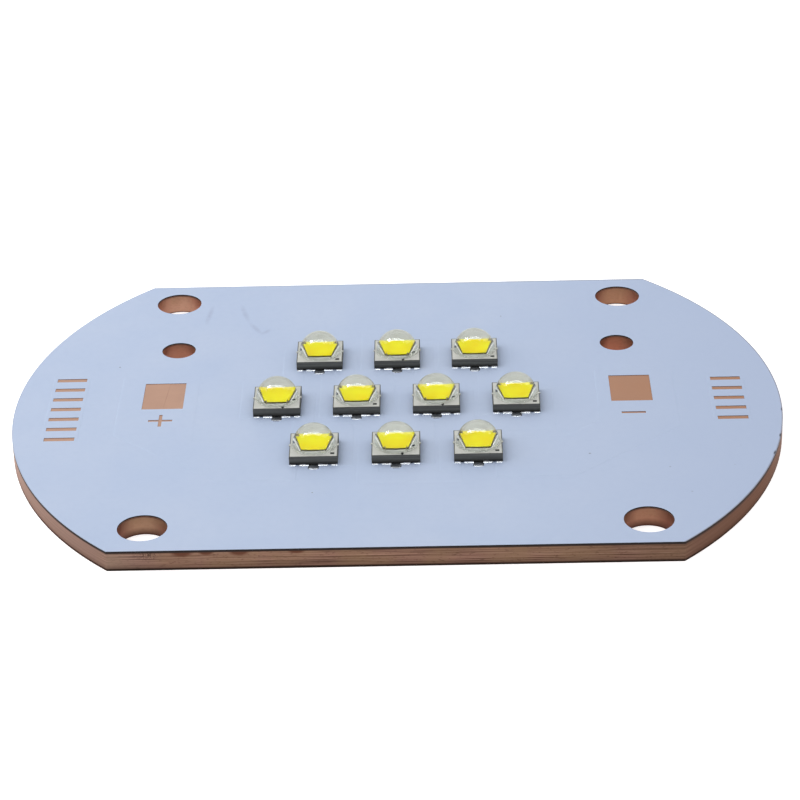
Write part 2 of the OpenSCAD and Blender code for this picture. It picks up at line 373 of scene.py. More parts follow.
def start_material(name):
    """A new material with one surface shader."""
    material = bpy.data.materials.new(name)
    material.use_nodes = True
    return material, material.node_tree, material.node_tree.nodes["Principled BSDF"]


def set_inputs(tree, node, inputs):
    """Gives each named input of a shader node a value or a link."""
    for key, value in inputs.items():
        if isinstance(value, bpy.types.NodeSocket):
            tree.links.new(value, node.inputs[key])
        else:
            node.inputs[key].default_value = value


def add_node(tree, kind, inputs=None, **settings):
    """A shader node with its settings and inputs."""
    made = tree.nodes.new(kind)
    for key, value in settings.items():
        setattr(made, key, value)
    set_inputs(tree, made, inputs or {})
    return made


def place_on_piece(tree, stretch=(1, 1, 1), shift=(0, 0, 0)):
    """Object coordinates in millimetres, stretched per axis and then shifted."""
    coordinates = add_node(tree, "ShaderNodeTexCoord")
    scale = [axis / MM for axis in stretch]
    return add_node(
        tree, "ShaderNodeMapping",
        {"Vector": coordinates.outputs["Object"], "Scale": scale, "Location": shift},
    ).outputs["Vector"]


def grain(tree, per_mm, stretch=(1, 1, 1), detail=3.0, shift=(0, 0, 0)):
    """Cloudy grain with about per_mm clouds in a millimetre, from 0 to 1."""
    return add_node(
        tree, "ShaderNodeTexNoise",
        {"Vector": place_on_piece(tree, stretch, shift), "Scale": per_mm, "Detail": detail},
    ).outputs["Fac"]


def spread(tree, value, low, high, to_low=0.0, to_high=1.0):
    """Maps a value's range to another, and stops at its ends."""
    return add_node(
        tree, "ShaderNodeMapRange",
        {"Value": value, "From Min": low, "From Max": high, "To Min": to_low, "To Max": to_high},
    ).outputs["Result"]


def maths(tree, operation, a, b):
    """One operation on two values."""
    return add_node(tree, "ShaderNodeMath", {0: a, 1: b}, operation=operation).outputs[0]


def opaque(colour):
    """A colour with full opacity; a socket stays as it is."""
    return colour if isinstance(colour, bpy.types.NodeSocket) else (*colour, 1)


def blend(tree, share, first, second):
    """Goes from the first colour to the second; each is a colour or a socket."""
    inputs = {0: share, 6: opaque(first), 7: opaque(second)}
    return add_node(tree, "ShaderNodeMix", inputs, data_type="RGBA").outputs[2]


def two_tones(tree, pattern, first, second):
    """Goes from the first colour to the second as a pattern does."""
    return blend(tree, spread(tree, pattern, *GRAIN_RANGE), first, second)


def add_surface(tree, shader, tone, pattern, roughness, metallic=0.0, specular=0.5):
    """Gives a surface its tone, its shine, and a roughness between two values that follows a pattern."""
    set_inputs(tree, shader, {
        "Base Color": tone,
        "Roughness": spread(tree, pattern, *GRAIN_RANGE, *roughness),
        "Metallic": metallic,
        "Specular IOR Level": specular,
    })


def clouded(name, per_mm, detail, first, second, roughness, **shine):
    """A material that goes from one tone to another in clouds."""
    material, tree, shader = start_material(name)
    cloud = grain(tree, per_mm, detail=detail)
    add_surface(tree, shader, blend(tree, cloud, first, second), cloud, roughness, **shine)
    return material


def add_relief(tree, shader, height, depth_mm, strength):
    """Fine relief of the surface."""
    inputs = {"Height": height, "Distance": depth_mm * MM, "Strength": strength}
    bump = add_node(tree, "ShaderNodeBump", inputs)
    set_inputs(tree, shader, {"Normal": bump.outputs["Normal"]})


def length_of(tree, vector):
    """Length of a vector."""
    return add_node(tree, "ShaderNodeVectorMath", {0: vector}, operation="LENGTH").outputs["Value"]


def spot(tree, centre, size, edge):
    """A soft-edged spot on a surface: 1 in its middle, 0 outside its size."""
    scale = [1 / s for s in size]
    shift = [-c / s for c, s in zip(centre, size)]
    return spread(tree, length_of(tree, place_on_piece(tree, scale, shift)), 1.0, edge)


def streak(tree, start, end, width):
    """A soft streak along the board from one point to another: 1 along its middle, 0 outside."""
    run = Vector(end) - Vector(start)
    middle = (Vector(end) + Vector(start)) / 2
    coordinates = add_node(tree, "ShaderNodeTexCoord")
    local = add_node(
        tree, "ShaderNodeMapping",
        {
            "Vector": coordinates.outputs["Object"],
            "Location": (middle.x * MM, middle.y * MM, 0),
            "Rotation": (0, 0, math.atan2(run.y, run.x)),
            "Scale": (run.length / 2 * MM, width / 2 * MM, 1),
        },
        vector_type="TEXTURE",
    )
    return spread(tree, length_of(tree, local.outputs["Vector"]), 1.0, STREAK_EDGE)


# Materials

# Smears under the top rim of the front flat: place along it, half width and half height
SMEARS = [(-20.8, 1.25, 0.62), (-18.4, 0.9, 0.45), (-15.2, 1.2, 0.56), (-9.6, 1.0, 0.4)]
# Grit to the left of the smears: place along the flat, half width and half height
GRIT = (-24.3, 1.7, 0.9)
# Rubbed streaks on the lacquer at the back left, from point to point
STREAKS = [
    ((-21.62, 19.3), (-21.1, 24.7)),
    ((-17.95, 24.7), (-16.75, 19.9)),
    ((-16.9, 20.2), (-15.0, 16.7)),
    ((-15.3, 16.8), (-14.2, 18.3)),
]
STREAK_W = 0.8
# Fine scratch across the left land, from point to point
SCRATCH = ((-24.45, 6.2), (-24.98, -1.0))
SCRATCH_W = 0.14
# Specks on the lacquer: place and radius
SPECKS = [
    (19.9, -11.6, 0.16), (27.9, -14.6, 0.14), (-8.4, -18.6, 0.1), (11.6, 20.4, 0.1), (-30.4, 9.6, 0.12),
    (34.5, -14.4, 0.12), (29.7, -19.7, 0.14), (35.5, -10.4, 0.1),
]
# Dark burrs on the lacquer's right rim, from point to point
BURRS = [
    ((40.63, -2.2), (40.56, -3.4)),
    ((39.88, -7.9), (39.68, -8.9)),
    ((38.98, -11.5), (38.64, -12.6)),
]
BURR_W = 0.3
# Painted light on the middle of each hole's back wall: its palest tone, in the order of HOLES
HOLE_LIGHT_TONES = [
    (0.454, 0.263, 0.184), (0.353, 0.186, 0.113), (0.35, 0.204, 0.131),
    (0.36, 0.172, 0.108), (0.36, 0.165, 0.108), (0.36, 0.137, 0.083),
]


def along_axis(tree, axis, start, end):
    """Goes from 0 to 1 between two places on one axis of the board."""
    axes = add_node(tree, "ShaderNodeSeparateXYZ", {0: place_on_piece(tree)})
    return spread(tree, axes.outputs[axis], start, end)


def level(tree, low, high):
    """Goes from 0 to 1 between two heights."""
    return along_axis(tree, "Z", low, high)


def along_board(tree, start, end):
    """Goes from 0 to 1 between two places along the board."""
    return along_axis(tree, "X", start, end)


def across_board(tree, start, end):
    """Goes from 0 to 1 between two places across the board."""
    return along_axis(tree, "Y", start, end)


def from_middle(tree, start, end):
    """Goes from 0 to 1 between two distances from the middle of the board."""
    return spread(tree, length_of(tree, place_on_piece(tree, (1, 1, 0))), start, end)


def milled_copper():
    """Dull copper of the core: mill lines along the edge, smears under its top rim, painted light
    towards its left end, and painted shade towards its right end and along its lower rim.
    """
    material, tree, shader = start_material("milled_copper")
    lines = grain(tree, 1.0, stretch=(0.08, 0.08, 11.0), detail=5.0)
    broad = grain(tree, 0.2, detail=4.0)
    fleck = grain(tree, 5.0, stretch=(0.5, 0.5, 1.5))
    scores = grain(tree, 1.0, stretch=(0.22, 0.22, 17.0), detail=2.0, shift=(3, 5, 7))
    on_flat = across_board(tree, -HALF_DEPTH + 1.2, -HALF_DEPTH + 0.05)
    strong = spread(tree, lines, 0.38, 0.62)
    lined = blend(tree, strong, (0.078, 0.039, 0.0285), (0.252, 0.138, 0.102))
    lined = blend(tree, spread(tree, broad, 0.4, 0.6, 0.0, 0.6), lined, (0.19, 0.117, 0.067))
    lined = blend(tree, spread(tree, fleck, 0.58, 0.72, 0.0, 0.55), lined, (0.05, 0.024, 0.017))
    plain = two_tones(tree, lines, (0.145, 0.076, 0.056), (0.19, 0.103, 0.075))
    tone = blend(tree, on_flat, plain, lined)
    # Painted shade towards the right end, which faces away from the key lamp, and painted light towards
    # the left end, which faces it
    tone = blend(tree, along_board(tree, 14, 48), tone, (0.068, 0.037, 0.022))
    tone = blend(tree, along_board(tree, -22, -52), tone, (0.32, 0.265, 0.236))
    score = maths(tree, "MULTIPLY", spread(tree, scores, 0.58, 0.68, 0.0, 0.5), on_flat)
    tone = blend(tree, score, tone, (0.31, 0.19, 0.14))
    front = -HALF_DEPTH
    for x, half_w, half_h in SMEARS:
        smear = maths(tree, "MULTIPLY", spot(tree, (x, front, Z_CORE), (half_w, 1.0, half_h), 0.55), 0.9)
        tone = blend(tree, smear, tone, (0.085, 0.030, 0.017))
    x, half_w, half_h = GRIT
    grit = spot(tree, (x, front, Z_CORE - 0.1), (half_w, 1.0, half_h), 0.1)
    grit = maths(tree, "MULTIPLY", grit, spread(tree, grain(tree, 8.0, detail=1.0), 0.5, 0.58))
    tone = blend(tree, grit, tone, (0.03, 0.016, 0.012))
    # Painted shade, darkest along the lower rim
    shade = spread(tree, level(tree, 0.8, 0.2), 0.0, 1.0, 0.0, 0.4)
    tone = blend(tree, shade, tone, (0.06, 0.03, 0.022))
    tone = blend(tree, level(tree, 0.34, 0.16), tone, (0.012, 0.007, 0.005))
    tone = blend(tree, level(tree, Z_CORE - 0.12, Z_CORE - 0.02), tone, (0.035, 0.02, 0.016))
    under_rim = level(tree, Z_CORE - 0.26, Z_CORE - 0.06)
    stained = maths(tree, "MULTIPLY", under_rim, along_board(tree, 27, 34))
    tone = blend(tree, stained, tone, (0.03, 0.018, 0.018))
    add_surface(tree, shader, tone, lines, (0.55, 0.4), metallic=0.8)
    shader.inputs["Specular Tint"].default_value = (0.82, 0.56, 0.48, 1)
    add_relief(tree, shader, lines, 0.015, 0.5)
    return material


def rolled_copper():
    """Bare rolled copper of the underside, with faint rolling lines."""
    material, tree, shader = start_material("rolled_copper")
    cloud = grain(tree, 0.15)
    lines = grain(tree, 1.0, stretch=(0.02, 0.7, 1.0), detail=1.0)
    tone = two_tones(tree, cloud, (0.42, 0.22, 0.155), (0.47, 0.255, 0.182))
    tone = blend(tree, spread(tree, lines, 0.35, 0.75, 0.0, 0.22), tone, (0.36, 0.182, 0.126))
    add_surface(tree, shader, tone, lines, (0.34, 0.4), metallic=0.85)
    return material


def drilled_copper():
    """Smooth copper of the hole walls: painted light in the middle of each back wall, a painted
    highlight high up, painted shade towards the front, the right and the foot, and darker at the upper
    rim.
    """
    material, tree, shader = start_material("drilled_copper")
    blotch = grain(tree, 0.45)
    fine = grain(tree, 3.0, stretch=(1.0, 1.0, 2.0))
    # Painted shade: the walls darken towards the front of the board and towards its right end
    tone = blend(tree, across_board(tree, 20, -20), (0.33, 0.145, 0.10), (0.17, 0.066, 0.046))
    tone = blend(tree, along_board(tree, 0, 60), tone, (0.14, 0.04, 0.022))
    # Painted light in the middle of each back wall
    for (x, y, r), pale in zip(HOLES, HOLE_LIGHT_TONES):
        light_patch = spot(tree, (x - 0.1 * r, y + r, 1.0), (0.95 * r, 1.2 * r, 4.0), 0.35)
        tone = blend(tree, light_patch, tone, pale)
    # Painted olive highlight high on the walls
    painted_highlight = maths(tree, "MULTIPLY", level(tree, 0.8, 1.7), spread(tree, blotch, 0.4, 0.65, 0.1, 0.45))
    tone = blend(tree, painted_highlight, tone, (0.34, 0.22, 0.12))
    tone = blend(tree, spread(tree, fine, 0.5, 0.75, 0.0, 0.2), tone, (0.16, 0.065, 0.045))
    # Painted shade low on the walls, most at the front, and along their foot
    low = maths(tree, "MULTIPLY", level(tree, 0.9, 0.0), across_board(tree, 10, -20))
    for share in (low, level(tree, 0.16, 0.04)):
        tone = blend(tree, share, tone, (0.05, 0.019, 0.013))
    tone = blend(tree, level(tree, Z_CORE - 0.06, Z_CORE - 0.01), tone, (0.05, 0.024, 0.02))
    add_surface(tree, shader, tone, blotch, (0.36, 0.5), metallic=0.6)
    shader.inputs["Specular Tint"].default_value = (0.8, 0.5, 0.4, 1)
    add_relief(tree, shader, fine, 0.006, 0.4)
    return material


def drilled_resin():
    """Resin cut by the drill, smeared brown with copper in its lower half."""
    material, tree, shader = start_material("drilled_resin")
    smear = grain(tree, 2.0, stretch=(1.0, 1.0, 3.0))
    tone = blend(tree, spread(tree, smear, 0.35, 0.65), (0.17, 0.08, 0.054), (0.27, 0.14, 0.096))
    upper = level(tree, Z_DIELECTRIC - 0.07, Z_DIELECTRIC - 0.03)
    tone = blend(tree, upper, tone, (0.015, 0.008, 0.006))
    add_surface(tree, shader, tone, smear, (0.5, 0.65), specular=0.2)
    return material


def foil_copper():
    """Bare satin foil of the lands, signs and marks, lightly tarnished."""
    material, tree, shader = start_material("foil_copper")
    cloud = grain(tree, 0.5, detail=4.0)
    brushed = grain(tree, 1.0, stretch=(0.5, 9.0, 1.0))
    tone = two_tones(tree, cloud, (0.332, 0.190, 0.133), (0.360, 0.211, 0.148))
    tone = blend(tree, spread(tree, brushed, 0.5, 0.8, 0.0, 0.2), tone, (0.283, 0.158, 0.105))
    tone = blend(tree, along_board(tree, 0, 25), tone, (0.286, 0.141, 0.081))
    worn = maths(tree, "MULTIPLY", streak(tree, *SCRATCH, SCRATCH_W), 0.5)
    tone = blend(tree, worn, tone, (0.234, 0.123, 0.079))
    add_surface(tree, shader, tone, cloud, (0.46, 0.54), metallic=0.25, specular=0.1)
    add_relief(tree, shader, brushed, 0.002, 0.4)
    return material


def dark_resin():
    """Near-black insulating resin, cut through at the edge."""
    tones = (0.006, 0.004, 0.004), (0.024, 0.015, 0.013)
    return clouded("dark_resin", 2.5, 4.0, *tones, (0.55, 0.75), specular=0.15)


def dark_and_shaded_lacquer_walls():
    """The lacquer's near-black walls at its cut rims; round the lands, signs and marks the black is
    painted shade.
    """
    material, tree, shader = start_material("dark_and_shaded_lacquer_walls")
    burr = grain(tree, 3.0, stretch=(0.5, 0.5, 4.0))
    rough_rim = spread(tree, burr, 0.35, 0.75)
    tone = blend(tree, rough_rim, (0.008, 0.006, 0.007), (0.040, 0.032, 0.034))
    add_surface(tree, shader, tone, burr, (0.5, 0.7), specular=0.15)
    return material


def white_lacquer():
    """Cool white satin lacquer: a faint orange peel, rubbed streaks, specks, a worn rim and painted
    shade towards the right end.
    """
    material, tree, shader = start_material("white_lacquer")
    cloud = grain(tree, 0.12)
    mottle = grain(tree, 1.3)
    tone = two_tones(tree, cloud, (0.473, 0.564, 0.753), (0.505, 0.588, 0.763))
    tone = blend(tree, spread(tree, mottle, 0.45, 0.8, 0.0, 0.25), tone, (0.455, 0.542, 0.725))
    for start, end in STREAKS:
        uneven = spread(tree, mottle, *GRAIN_RANGE, 0.2, 0.45)
        rubbed = maths(tree, "MULTIPLY", streak(tree, start, end, STREAK_W), uneven)
        tone = blend(tree, rubbed, tone, (0.30, 0.345, 0.51))
    for x, y, r in SPECKS:
        speck = spot(tree, (x, y, Z_MASK), (r, r, 1.0), 0.5)
        tone = blend(tree, speck, tone, (0.22, 0.25, 0.33))
    # Painted shade, darker towards the right end of the board
    tone = blend(tree, along_board(tree, 10, 40), tone, (0.442, 0.523, 0.708))
    flat_rim = across_board(tree, HALF_DEPTH - 0.22, HALF_DEPTH - 0.1)
    rim = maths(tree, "MAXIMUM", from_middle(tree, BOARD_R - 0.15, BOARD_R - 0.06), flat_rim)
    worn = maths(tree, "MULTIPLY", rim, spread(tree, along_board(tree, -30, 35), 0.0, 1.0, 0.15, 0.6))
    tone = blend(tree, worn, tone, (0.15, 0.115, 0.11))
    for start, end in BURRS:
        tone = blend(tree, streak(tree, start, end, BURR_W), tone, (0.03, 0.025, 0.03))
    add_surface(tree, shader, tone, mottle, (0.42, 0.55), specular=0.08)
    add_relief(tree, shader, grain(tree, 4.0, detail=2.0), 0.004, 0.5)
    return material


def dark_ceramic():
    """Dark grey fired ceramic in thin layers, with painted shade that turns it black towards its foot.
    """
    material, tree, shader = start_material("dark_ceramic")
    layers = grain(tree, 1.0, stretch=(0.15, 0.15, 9.0), detail=2.0)
    speckle = grain(tree, 14.0, detail=2.0)
    tone = two_tones(tree, layers, (0.085, 0.086, 0.080), (0.152, 0.154, 0.144))
    # Painted shade, black towards the foot
    tone = blend(tree, level(tree, Z_TOP - 0.45, Z_CARRIER + 0.02), tone, (0.004, 0.004, 0.004))
    tone = blend(tree, spread(tree, speckle, 0.55, 0.8, 0.0, 0.4), tone, (0.030, 0.032, 0.033))
    add_surface(tree, shader, tone, layers, (0.42, 0.58), specular=0.06)
    add_relief(tree, shader, layers, 0.006, 0.5)
    return material


def speckled_ceramic(name, first, second, speck, specks_per_mm, roughness, specular):
    """Clouded ceramic with fine specks, for the carrier's top."""
    material, tree, shader = start_material(name)
    cloud = grain(tree, 1.1, detail=4.0)
    specks = grain(tree, specks_per_mm, detail=2.0)
    tone = two_tones(tree, cloud, first, second)
    tone = blend(tree, spread(tree, specks, 0.55, 0.8, 0.0, 0.3), tone, speck)
    add_surface(tree, shader, tone, cloud, roughness, specular=specular)
    return material, tree, shader, specks


def pale_ceramic():
    """Warm pale grey matt top of the carrier."""
    tones = (0.54, 0.542, 0.50), (0.615, 0.617, 0.575), (0.48, 0.48, 0.43)
    material, tree, shader, specks = speckled_ceramic("pale_ceramic", *tones, 16.0, (0.32, 0.45), 0.1)
    add_relief(tree, shader, specks, 0.002, 0.5)
    return material


def shaded_ceramic_under_lens():
    """The carrier's top under the lens: greyer with painted shade, and yellowed by a painted reflection
    of the phosphor.
    """
    tones = (0.48, 0.488, 0.435), (0.555, 0.563, 0.51), (0.43, 0.427, 0.345)
    return speckled_ceramic("shaded_ceramic_under_lens", *tones, 9.0, (0.45, 0.6), 0.0)[0]


def burnt_mark():
    """Near-black of the polarity bar, the pin mark and the spot under the lens."""
    material, tree, shader = start_material("burnt_mark")
    speckle = grain(tree, 12.0, detail=2.0)
    burnt = spread(tree, speckle, 0.35, 0.7)
    tone = blend(tree, burnt, (0.008, 0.009, 0.009), (0.030, 0.031, 0.029))
    add_surface(tree, shader, tone, speckle, (0.5, 0.65), specular=0.1)
    return material


def yellow_phosphor():
    """Bright matt yellow phosphor, a little deeper in places."""
    material, tree, shader = start_material("yellow_phosphor")
    cloud = grain(tree, 0.55, detail=2.0)
    powder = grain(tree, 18.0, detail=2.0)
    deeper = spread(tree, cloud, 0.38, 0.68)
    tone = blend(tree, deeper, (0.835, 0.773, 0.0192), (0.815, 0.652, 0.0121))
    tone = blend(tree, spread(tree, powder, 0.5, 0.8, 0.0, 0.2), tone, (0.715, 0.605, 0.0122))
    add_surface(tree, shader, tone, powder, (0.7, 0.85), specular=0.0)
    return material


def dark_die():
    """Dark olive sides and bare corners of the chip."""
    tones = (0.085, 0.075, 0.012), (0.15, 0.13, 0.024)
    return clouded("dark_die", 5.0, 3.0, *tones, (0.35, 0.55))


def clear_silicone(name, smooth, rough):
    """Clear moulded silicone, between two roughnesses."""
    material, tree, shader = start_material(name)
    skin = grain(tree, 0.8, detail=1.0)
    set_inputs(tree, shader, {
        "Base Color": (0.985, 0.99, 0.98, 1),
        "Transmission Weight": 1.0,
        "IOR": 1.44,
        "Roughness": spread(tree, skin, *GRAIN_RANGE, smooth, rough),
    })
    return material


def bright_solder():
    """Bright tin solder, frozen with slight ripples."""
    material, tree, shader = start_material("bright_solder")
    ripple = grain(tree, 5.0)
    tone = two_tones(tree, ripple, (0.50, 0.51, 0.54), (0.57, 0.58, 0.60))
    add_surface(tree, shader, tone, ripple, (0.22, 0.36), metallic=1.0)
    add_relief(tree, shader, ripple, 0.01, 0.4)
    return material


def reflection_painted_solder():
    """Smooth flat solder of the tabs, with a soft shine, darker than the other solder: a painted
    reflection of the carrier's dark side.
    """
    tones = (0.25, 0.26, 0.29), (0.30, 0.306, 0.332)
    return clouded("reflection_painted_solder", 3.0, 2.0, *tones, (0.28, 0.38), metallic=1.0)


def painted_light_strip():
    """Pale satin strips beside the chip: painted light."""
    tones = (0.92, 0.92, 0.90), (0.97, 0.97, 0.95)
    return clouded("painted_light_strip", 4.0, 2.0, *tones, (0.35, 0.5))


def gold_wire():
    """Fine drawn gold."""
    tones = (0.52, 0.41, 0.22), (0.66, 0.54, 0.32)
    return clouded("gold_wire", 20.0, 2.0, *tones, (0.2, 0.35), metallic=1.0)


COPPER = milled_copper()
UNDERSIDE = rolled_copper()
DRILLED = drilled_copper()
DRILLED_RESIN = drilled_resin()
FOIL = foil_copper()
RESIN = dark_resin()
DARK_AND_SHADED_WALLS = dark_and_shaded_lacquer_walls()
LACQUER = white_lacquer()
DARK_CERAMIC = dark_ceramic()
PALE_CERAMIC = pale_ceramic()
SHADED_UNDER_LENS = shaded_ceramic_under_lens()
BURNT = burnt_mark()
PHOSPHOR = yellow_phosphor()
DIE = dark_die()
SILICONE = clear_silicone("clear_silicone", 0.1, 0.16)
DULL_SILICONE = clear_silicone("dull_silicone", 0.24, 0.32)
SOLDER = bright_solder()
REFLECTION_PAINTED_SOLDER = reflection_painted_solder()
PAINTED_LIGHT_STRIP = painted_light_strip()
GOLD = gold_wire()


# The board


def thermal_land(bm, number, z, room):
    """Outline of the bare land under a diode, with its two tabs and room around it."""
    wide_l = 2 * (LED_HALF + FILLET_OUT + room)
    tabs_l = 2 * (LED_HALF + TAB_OUT + room)
    points = cross(0, 0, THERMAL_W + 2 * room, wide_l, TAB_W + 2 * room, tabs_l, TAB_CUT)
    return closed_loop(bm, points, z, LED_PLACES[number])


def in_hole(face, room=0.0):
    """Whether a face is part of a hole's wall."""
    middle = face.calc_center_median()
    return any(math.hypot(middle.x - x, middle.y - y) < r + room for x, y, r in HOLES)


def board_outlines(bm, z, land_room=None):
    """Edges of the board's outline, of its holes and, where they get room, of its thermal lands."""
    edges = board_loop(bm, z)
    for x, y, r in HOLES:
        edges += circle_loop(bm, x, y, r, z, HOLE_STEPS)
    if land_room is not None:
        for number in LED_NUMBERS:
            edges += thermal_land(bm, number, z, land_room)
    return edges


def board_plate(low, high, land_room=None):
    """A plate of the board's outline with its holes, and open at the thermal lands if they get room."""
    bm = bmesh.new()
    raise_faces(bm, fill(bm, board_outlines(bm, low, land_room)), high - low)
    return bm


# Order of the core's materials
CORE_EDGE, CORE_HOLE, CORE_BELOW = range(3)


def copper_core_plate():
    """The core with its underside edges broken and the raised thermal lands."""
    bm = board_plate(0.0, Z_CORE)
    rims = [
        edge for edge in bm.edges
        if max(vert.co.z for vert in edge.verts) < MERGE and edge.calc_face_angle(0) > RIM_TURN
    ]
    soften(bm, rims, UNDERSIDE_BREAK)
    bmesh.ops.recalc_face_normals(bm, faces=bm.faces)
    for face in bm.faces:
        face.material_index = CORE_HOLE if in_hole(face, UNDERSIDE_BREAK) else CORE_EDGE
        if face.normal.z < -LEVEL_FACE:
            face.material_index = CORE_BELOW
    for number in LED_NUMBERS:
        edges = thermal_land(bm, number, Z_CORE - BEDDED, 0.0)
        land = bmesh.ops.contextual_create(bm, geom=edges)["faces"]
        raise_faces(bm, land, Z_FOIL - Z_CORE + BEDDED)
    materials = [COPPER, DRILLED, UNDERSIDE]
    finish_piece(bm, "copper_core_plate", materials, "copper_core", sharp=15)


def insulating_sheet():
    """The insulating layer, open at the thermal lands."""
    bm = board_plate(Z_CORE, Z_DIELECTRIC, land_room=0.0)
    for face in bm.faces:
        face.material_index = int(in_hole(face))
    finish_piece(bm, "insulating_sheet", [RESIN, DRILLED_RESIN], "dielectric_layer")


FOIL_NODES = ["plus_track", "minus_track", "left_mark_foil", "right_mark_foil"]
FOIL_NODES += ["link_track_%d" % k for k in range(1, 10)]


def foil_tops(bm):
    """Adds the outline of every foil as one face each, at the lacquer's lower level."""
    for node in FOIL_NODES:
        bm.from_mesh(frame["nodes"][node].data)
    bmesh.ops.scale(bm, vec=(1 / MM,) * 3, verts=bm.verts)
    bmesh.ops.remove_doubles(bm, verts=bm.verts, dist=FOIL_MERGE)
    bm.normal_update()
    hidden = [face for face in bm.faces if face.normal.z < LEVEL_FACE]
    bmesh.ops.delete(bm, geom=hidden, context="FACES")
    turn = math.radians(FOIL_TURN)
    bmesh.ops.dissolve_limit(bm, angle_limit=turn, verts=bm.verts, edges=bm.edges)
    for vert in bm.verts:
        vert.co.z = Z_MASK_LOW
    return list(bm.faces)


def land_openings(bm):
    """Outlines of the lacquer's openings over the lands, signs, marks and contacts."""
    outlines = [rectangle(side * LAND_X, LAND_Y, LAND_W, LAND_L) for side in (-1, 1)]
    outlines.append(cross(-LAND_X, SIGN_Y, SIGN_SIZE, SIGN_LINE, SIGN_LINE, SIGN_SIZE))
    outlines.append(rectangle(LAND_X, SIGN_Y, SIGN_SIZE, SIGN_LINE))
    for x, bars in ((-MARK_X, LEFT_BARS), (MARK_X, RIGHT_BARS)):
        for bar in range(bars):
            y = (bar - (bars - 1) / 2) * MARK_PITCH
            outlines.append(rectangle(x, y, MARK_W, MARK_LINE))
    edges = [edge for outline in outlines for edge in closed_loop(bm, outline, Z_MASK)]
    window_l = 2 * (LED_HALF + FILLET_OUT + MASK_GAP)
    for place in LED_PLACES.values():
        for side in (-1, 1):
            window = rectangle(side * CONTACT_X, 0, CONTACT_W + 2 * MASK_GAP, window_l)
            edges += closed_loop(bm, window, Z_MASK, place)
    return edges


def lacquer_coat():
    """The white lacquer: raised over the foil with soft ramps, open at the lands, dark at cut rims, with
    painted shade on the walls round the lands.
    """
    bm = bmesh.new()
    plateaus = foil_tops(bm)
    bmesh.ops.inset_individual(bm, faces=plateaus, thickness=MASK_RAMP, use_even_offset=True)
    for face in plateaus:
        for vert in face.verts:
            vert.co.z = Z_MASK
    upper = list({edge for face in plateaus for edge in face.edges})
    lower = [edge for edge in bm.edges if edge.is_boundary]
    bmesh.ops.delete(bm, geom=plateaus, context="FACES_ONLY")
    fill(bm, upper + land_openings(bm))
    fill(bm, lower + board_outlines(bm, Z_MASK_LOW, MASK_GAP))
    grown = bmesh.ops.extrude_face_region(bm, geom=list(bm.faces))["geom"]
    middle = (Z_MASK + Z_MASK_LOW) / 2
    for vert in only(BMVert, grown):
        vert.co.z = Z_FOIL if vert.co.z > middle else Z_DIELECTRIC
    bm.normal_update()
    for face in bm.faces:
        upright = abs(face.normal.z) < WALL_FACE
        reach = max(vert.co.z for vert in face.verts)
        at_copper = abs(face.calc_center_median().x) > DIODES_END
        # Near-black walls at the cut rims; round the lands, signs and marks this black is painted shade
        face.material_index = int(upright and (reach < middle or at_copper))
    finish_piece(bm, "lacquer_coat", [LACQUER, DARK_AND_SHADED_WALLS], "solder_mask", sharp=4)


# The diodes

# Order of the carrier's materials
DARK_SIDE, PALE_TOP, DARK_MARK, CONTACT, LIT_STRIP, SHADED_LENS_FIELD = range(6)


def carrier_top(bm, number):
    """The pale top with its dark marks, and the field under the lens, in painted shade, with its strips
    of painted light and its spot.
    """
    top = max(bm.faces, key=lambda face: (round(face.calc_center_median().z, 4), face.calc_area()))
    bmesh.ops.inset_region(bm, faces=[top], thickness=CARRIER_RIM)
    sides = (LED_HALF - SIDE_RIM) / (LED_HALF - CARRIER_BREAK - CARRIER_RIM)
    bmesh.ops.scale(bm, vec=(sides, 1, 1), verts=top.verts)
    to_front = TOP_SHIFT if number in TURNED_LEDS else -TOP_SHIFT
    bmesh.ops.translate(bm, vec=(0, to_front, 0), verts=top.verts)
    edges = list(top.edges)
    bmesh.ops.delete(bm, geom=[top], context="FACES_ONLY")
    bar = closed_loop(bm, rectangle(*POLARITY_BAR), Z_TOP)
    lens_spot = circle_loop(bm, *LENS_SPOT, Z_TOP, SPOT_STEPS)
    shaded_lens_field = circle_loop(bm, 0, 0, UNDER_LENS_R, Z_TOP, UNDER_LENS_STEPS)
    paint(fill(bm, edges + bar + shaded_lens_field), PALE_TOP)
    # The field under the lens: painted shade with a painted yellow reflection
    paint(fill(bm, shaded_lens_field + lens_spot), SHADED_LENS_FIELD)
    # Strips of painted light on both sides of the chip
    x, y, width, length = LIT_STRIP_PLACE
    for side in (-1, 1):
        low = (side * x - width / 2, y - length / 2, Z_TOP - BEDDED)
        high = (side * x + width / 2, y + length / 2, Z_TOP + BEDDED)
        paint(block(bm, low, high), LIT_STRIP)
    paint(sink(bm, bar, MARK_DEPTH), DARK_MARK)
    paint(sink(bm, lens_spot, BEDDED / 2), DARK_MARK)
    x, y, half_w, half_l = PIN_MARK
    flat = Matrix.Translation((x, y, Z_TOP)) @ Matrix.Diagonal((half_w, half_l, BEDDED, 1))
    made = bmesh.ops.create_cone(
        bm, cap_ends=True, segments=PIN_STEPS, radius1=1, radius2=1, depth=1, matrix=flat
    )
    paint(linked_faces(made["verts"]), DARK_MARK)


def side_nibs(bm):
    """Small pale nibs at the middle of the carrier's two sides."""
    for side in (-1, 1):
        known = set(bm.edges)
        inner = (side * (LED_HALF - NIB_IN), -NIB_HALF, Z_TOP - NIB_DOWN)
        outer = (side * (LED_HALF + NIB_OUT), NIB_HALF, Z_TOP + BEDDED / 2)
        paint(block(bm, inner, outer), PALE_TOP)
        soften(bm, [edge for edge in bm.edges if edge not in known], NIB_BREAK)


